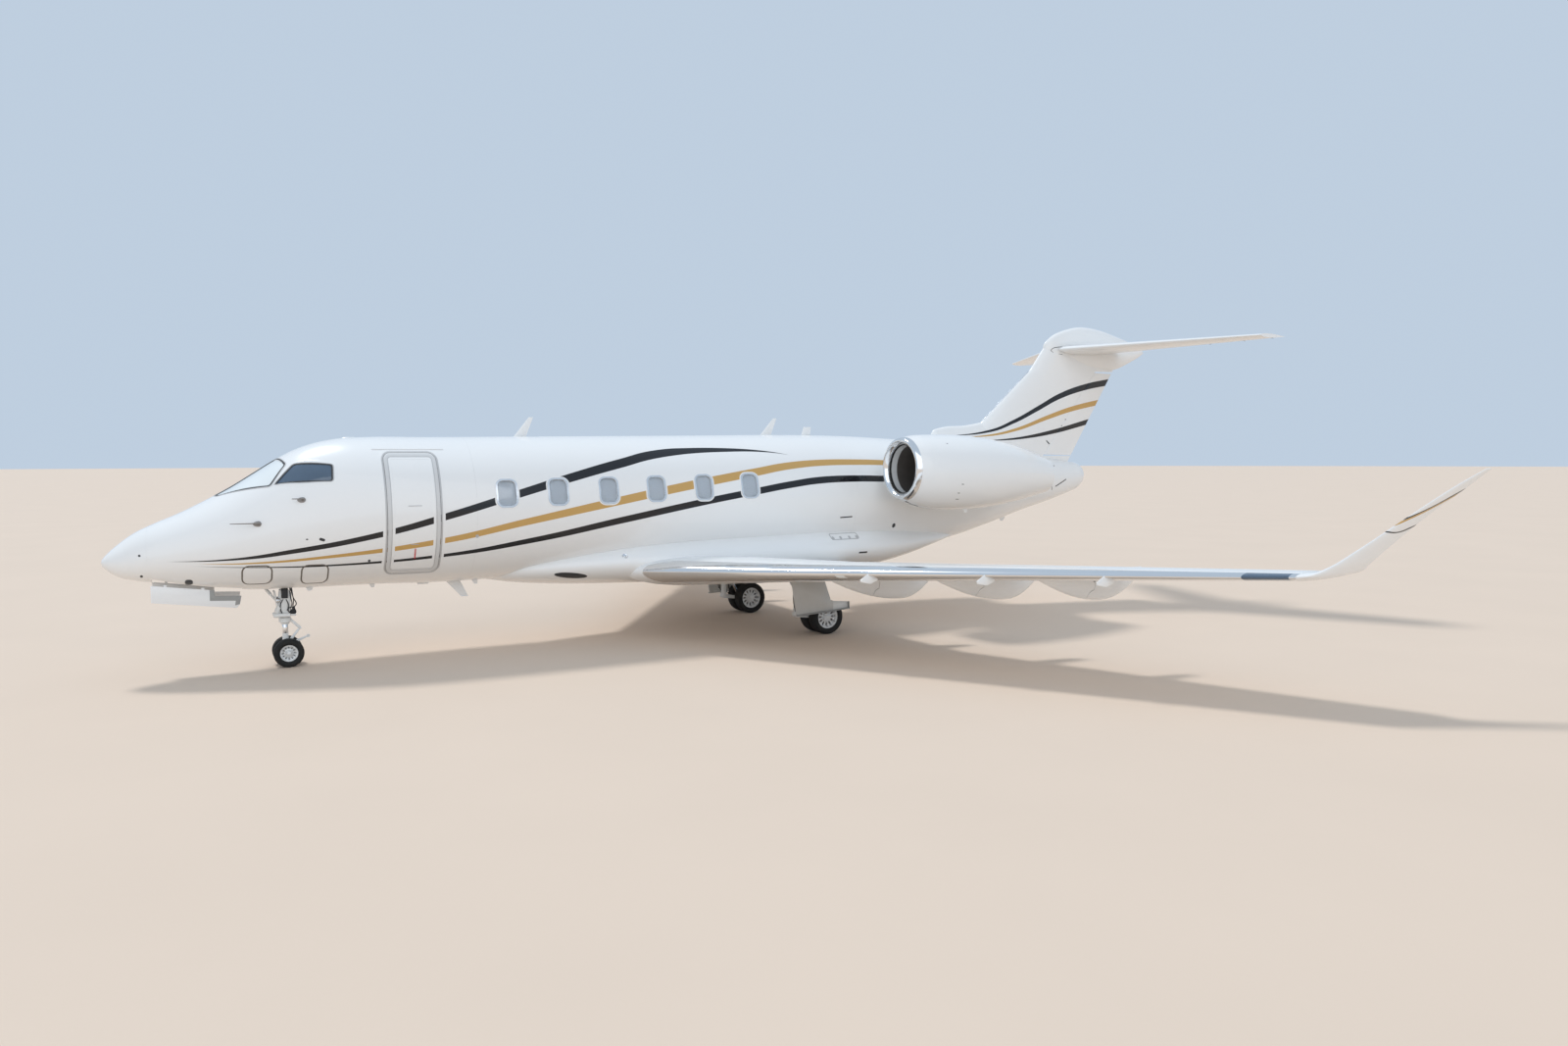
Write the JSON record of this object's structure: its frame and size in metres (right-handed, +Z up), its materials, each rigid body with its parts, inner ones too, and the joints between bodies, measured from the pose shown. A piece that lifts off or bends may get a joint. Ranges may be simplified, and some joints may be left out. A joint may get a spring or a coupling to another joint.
{
  "type": "business jet",
  "caption": "Twin-engined business jet with swept wings, winglets and a T-tail, parked on its landing gear with the entry door shut",
  "frame": {"origin": "on the ground, below the middle of the aircraft's length and width", "axes": "the nose points to -X, the left wing to -Y and +Z is up"},
  "size_m": [20.905, 21.0094, 6.127],
  "materials": {
    "white_paint": "gloss",
    "polished_metal": "polished",
    "glass": "gloss",
    "gear_metal": "satin",
    "engine_metal": "satin",
    "tyre_rubber": "matte",
    "leather": "satin",
    "dark_trim": "matte",
    "carpet": "matte"
  },
  "bodies": {
    "airframe": {"radome": "white_paint", "front_fuselage": "white_paint", "cabin_fuselage": "white_paint", "rear_fuselage": "white_paint", "tailcone": "white_paint", "belly_fairing": "white_paint", "fin": "white_paint", "cockpit_glazing": "glass", "cabin_windows_left": "glass", "cabin_windows_right": "glass", "cabin_floor": "carpet", "cockpit_bulkhead": "leather", "instrument_panel": "dark_trim", "pilot_seat_left": "leather", "pilot_seat_right": "leather", "nose_leg": "gear_metal", "wing_left": "white_paint", "leading_edge_left": "polished_metal", "winglet_left": "white_paint", "nacelle_left": "white_paint", "inlet_lip_left": "polished_metal", "engine_core_left": "engine_metal", "pylon_left": "white_paint", "main_leg_left": "gear_metal", "wing_right": "white_paint", "leading_edge_right": "polished_metal", "winglet_right": "white_paint", "nacelle_right": "white_paint", "inlet_lip_right": "polished_metal", "engine_core_right": "engine_metal", "pylon_right": "white_paint", "main_leg_right": "gear_metal"},
    "entry_door": {"entry_door": "white_paint"},
    "nose_steering": {"nose_fork": "gear_metal"},
    "nose_wheels": {"nose_wheels": "gear_metal", "nose_tyre_left": "tyre_rubber", "nose_tyre_right": "tyre_rubber"},
    "rudder": {"rudder": "white_paint"},
    "stabilizer": {"stabilizer": "white_paint"},
    "main_wheels_left": {"main_wheels_left": "gear_metal", "main_tyre_left_outer": "tyre_rubber", "main_tyre_left_inner": "tyre_rubber"},
    "fan_left": {"fan_left": "engine_metal"},
    "aileron_left": {"aileron_left": "white_paint"},
    "flap_inner_left": {"flap_inner_left": "white_paint"},
    "flap_outer_left": {"flap_outer_left": "white_paint"},
    "elevator_left": {"elevator_left": "white_paint"},
    "nose_gear_door_left": {"nose_gear_door_left": "white_paint"},
    "main_wheels_right": {"main_wheels_right": "gear_metal", "main_tyre_right_outer": "tyre_rubber", "main_tyre_right_inner": "tyre_rubber"},
    "fan_right": {"fan_right": "engine_metal"},
    "aileron_right": {"aileron_right": "white_paint"},
    "flap_inner_right": {"flap_inner_right": "white_paint"},
    "flap_outer_right": {"flap_outer_right": "white_paint"},
    "elevator_right": {"elevator_right": "white_paint"},
    "nose_gear_door_right": {"nose_gear_door_right": "white_paint"}
  },
  "joints": [
    {"name": "nose_steering", "type": "hinge", "parent": "airframe", "child": "nose_steering", "pos_m": [-8.125, 0, 0.7], "axis": [0, 0, 1], "range_deg": [-60, 60]},
    {"name": "nose_wheel_spin", "type": "hinge", "parent": "nose_steering", "child": "nose_wheels", "pos_m": [-8.094, 0, 0.215], "axis": [0, 1, 0], "continuous": true},
    {"name": "main_wheel_spin_left", "type": "hinge", "parent": "airframe", "child": "main_wheels_left", "pos_m": [0.604, -1.494, 0.31], "axis": [0, 1, 0], "continuous": true},
    {"name": "fan_spin_left", "type": "hinge", "parent": "airframe", "child": "fan_left", "pos_m": [2.76, -1.97, 2.91695], "axis": [1, 0, 0], "continuous": true},
    {"name": "main_wheel_spin_right", "type": "hinge", "parent": "airframe", "child": "main_wheels_right", "pos_m": [0.604, 1.494, 0.31], "axis": [0, 1, 0], "continuous": true},
    {"name": "fan_spin_right", "type": "hinge", "parent": "airframe", "child": "fan_right", "pos_m": [2.76, 1.97, 2.91695], "axis": [1, 0, 0], "continuous": true},
    {"name": "entry_door_hinge", "type": "hinge", "parent": "airframe", "child": "entry_door", "pos_m": [-6.38, -0.752, 1.398], "axis": [1, 0, 0], "range_deg": [0, 129]},
    {"name": "rudder_hinge", "type": "hinge", "parent": "airframe", "child": "rudder", "pos_m": [7.292, 0, 3.222], "axis": [0.638, 0, 0.77], "range_deg": [-25, 25]},
    {"name": "stabilizer_trim", "type": "hinge", "parent": "airframe", "child": "stabilizer", "pos_m": [8.6, 0, 5.585], "axis": [0, 1, 0], "range_deg": [-9, 2]},
    {"name": "elevator_hinge_left", "type": "hinge", "parent": "stabilizer", "child": "elevator_left", "pos_m": [8.85206, -0.215, 5.58558], "axis": [-0.362, 0.932, -0.0186], "range_deg": [-23, 18]},
    {"name": "aileron_hinge_left", "type": "hinge", "parent": "airframe", "child": "aileron_left", "pos_m": [2.4, -7.3, 1.57435], "axis": [-0.3838, 0.922, -0.0516], "range_deg": [-20, 20]},
    {"name": "flap_hinge_inner_left", "type": "hinge", "parent": "airframe", "child": "flap_inner_left", "pos_m": [0.33, -1.4, 0.77026], "axis": [-0.1662, 0.9832, -0.0749], "range_deg": [0, 30]},
    {"name": "flap_hinge_outer_left", "type": "hinge", "parent": "airframe", "child": "flap_outer_left", "pos_m": [0.796, -3.75, 0.99158], "axis": [-0.4, 0.9148, -0.0563], "range_deg": [0, 30]},
    {"name": "nose_gear_door_hinge_left", "type": "hinge", "parent": "airframe", "child": "nose_gear_door_left", "pos_m": [-9.862, -0.277, 1.378], "axis": [0.9905, 0, -0.1374], "range_deg": [0, 84]},
    {"name": "elevator_hinge_right", "type": "hinge", "parent": "stabilizer", "child": "elevator_right", "pos_m": [8.85206, 0.215, 5.58558], "axis": [0.362, 0.932, 0.0186], "range_deg": [-23, 18]},
    {"name": "aileron_hinge_right", "type": "hinge", "parent": "airframe", "child": "aileron_right", "pos_m": [2.4, 7.3, 1.57435], "axis": [0.3838, 0.922, 0.0516], "range_deg": [-20, 20]},
    {"name": "flap_hinge_inner_right", "type": "hinge", "parent": "airframe", "child": "flap_inner_right", "pos_m": [0.33, 1.4, 0.77026], "axis": [0.1662, 0.9832, 0.0749], "range_deg": [0, 30]},
    {"name": "flap_hinge_outer_right", "type": "hinge", "parent": "airframe", "child": "flap_outer_right", "pos_m": [0.796, 3.75, 0.99158], "axis": [0.4, 0.9148, 0.0563], "range_deg": [0, 30]},
    {"name": "nose_gear_door_hinge_right", "type": "hinge", "parent": "airframe", "child": "nose_gear_door_right", "pos_m": [-9.862, 0.277, 1.378], "axis": [-0.9905, 0, 0.1374], "range_deg": [0, 84]}
  ],
  "couplings": [
    {"joint": "elevator_hinge_right", "follows": "elevator_hinge_left", "ratio": 1},
    {"joint": "aileron_hinge_right", "follows": "aileron_hinge_left", "ratio": -1},
    {"joint": "nose_gear_door_hinge_right", "follows": "nose_gear_door_hinge_left", "ratio": 1},
    {"joint": "flap_hinge_outer_left", "follows": "flap_hinge_inner_left", "ratio": 1},
    {"joint": "flap_hinge_inner_right", "follows": "flap_hinge_inner_left", "ratio": 1},
    {"joint": "flap_hinge_outer_right", "follows": "flap_hinge_inner_left", "ratio": 1}
  ]
}
